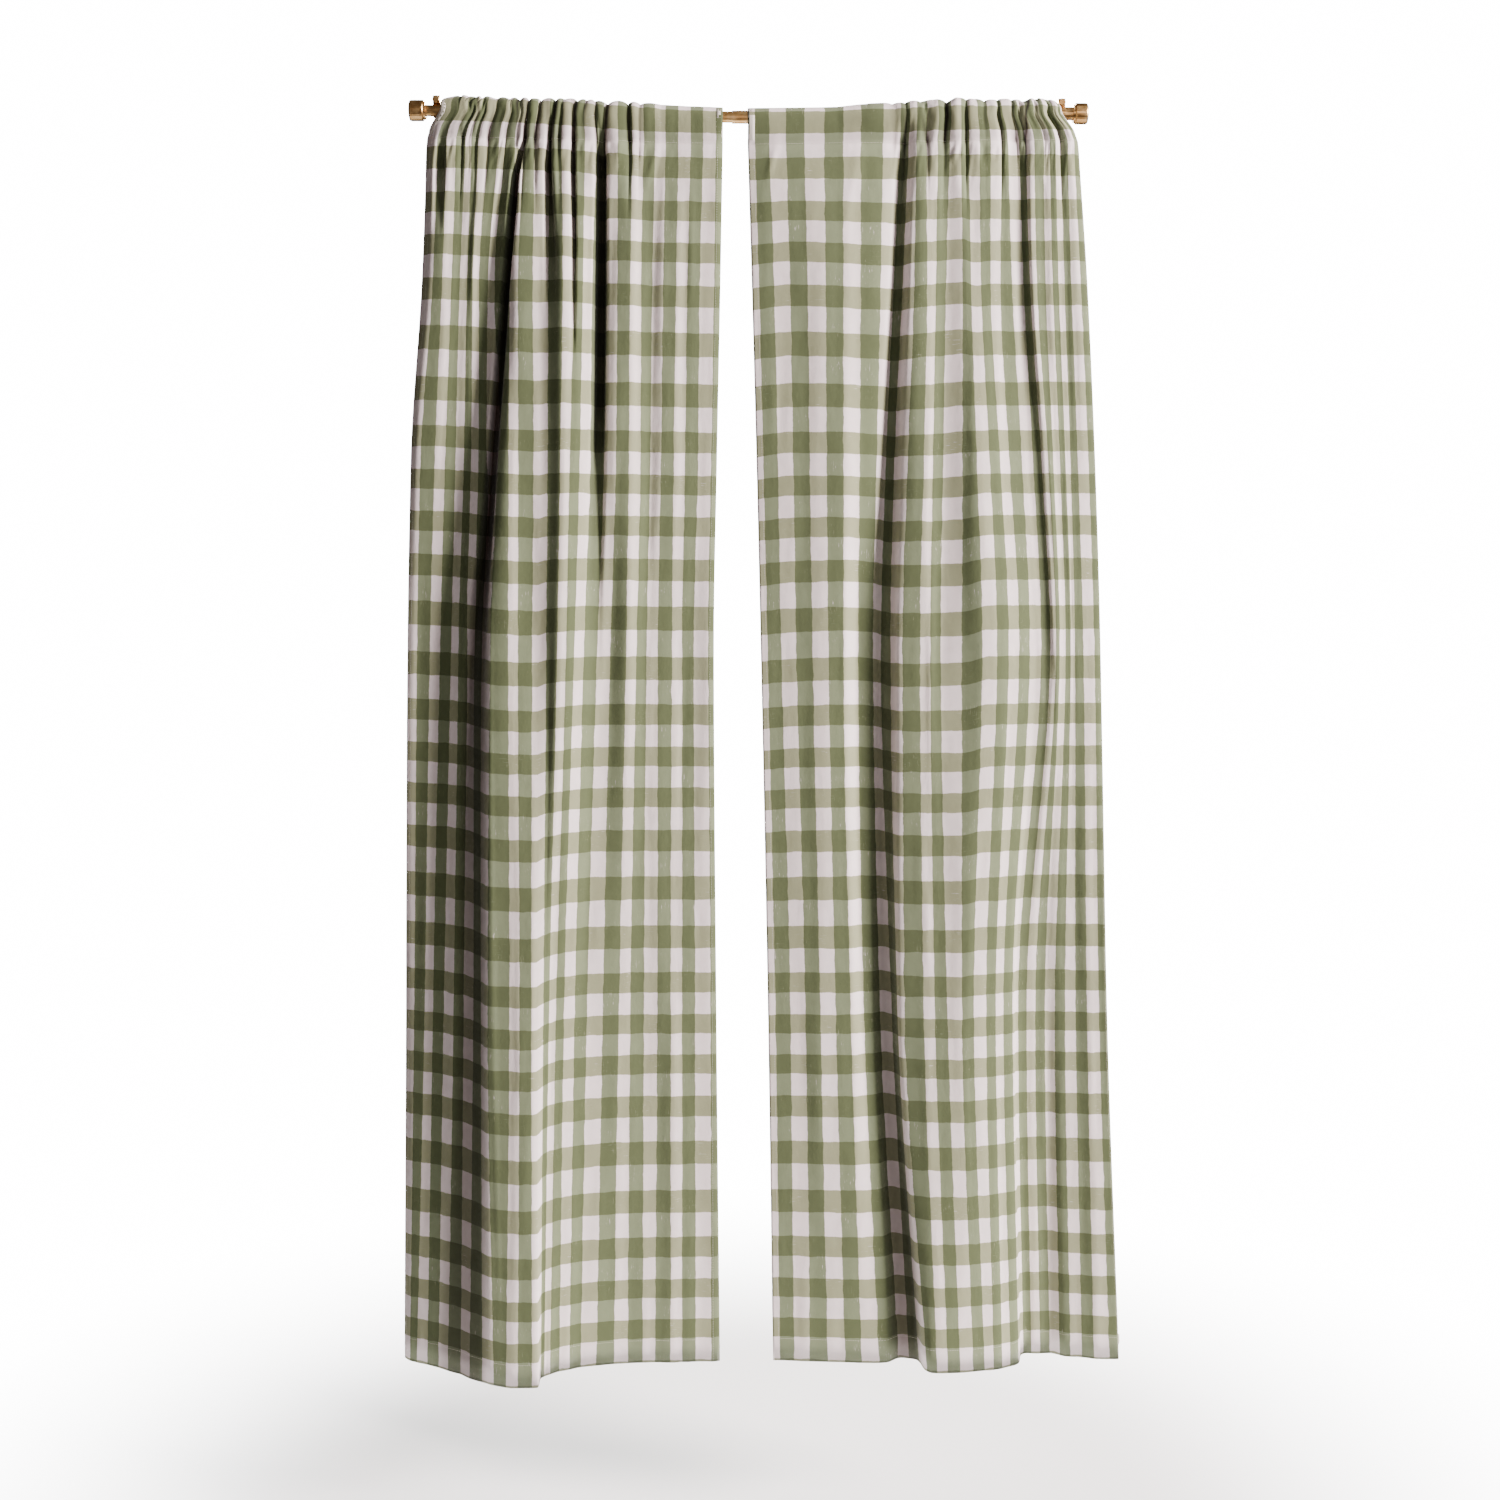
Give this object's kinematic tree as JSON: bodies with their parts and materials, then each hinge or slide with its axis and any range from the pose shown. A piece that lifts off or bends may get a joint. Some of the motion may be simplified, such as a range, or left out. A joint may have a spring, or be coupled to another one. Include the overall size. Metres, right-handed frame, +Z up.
{
  "type": "rod-pocket curtain pair on a telescoping curtain rod",
  "caption": "Pair of gathered rod-pocket blackout curtains in a sage check, hanging on a telescoping brass rod with end-cap finials and wall brackets.",
  "frame": {"origin": "on the wall plane, midway between the two bracket collars, at the mean height of the rod's ends", "axes": "+Z up along the drop, +X along the rod to the right as seen from the room, +Y into the wall"},
  "size_m": [1.2162, 0.1597, 2.1667],
  "materials": {
    "cloth": "matte woven cloth in a sage and white check",
    "brass": "satin aged brass"
  },
  "bodies": {
    "root": {"left_curtain_panel": "cloth", "right_curtain_panel": "cloth", "rod_inner_tube": "brass", "rod_outer_tube": "brass", "left_finial": "brass", "right_finial": "brass", "left_bracket": "brass", "right_bracket": "brass", "left_bracket_screw": "brass", "right_bracket_screw": "brass"}
  },
  "joints": []
}
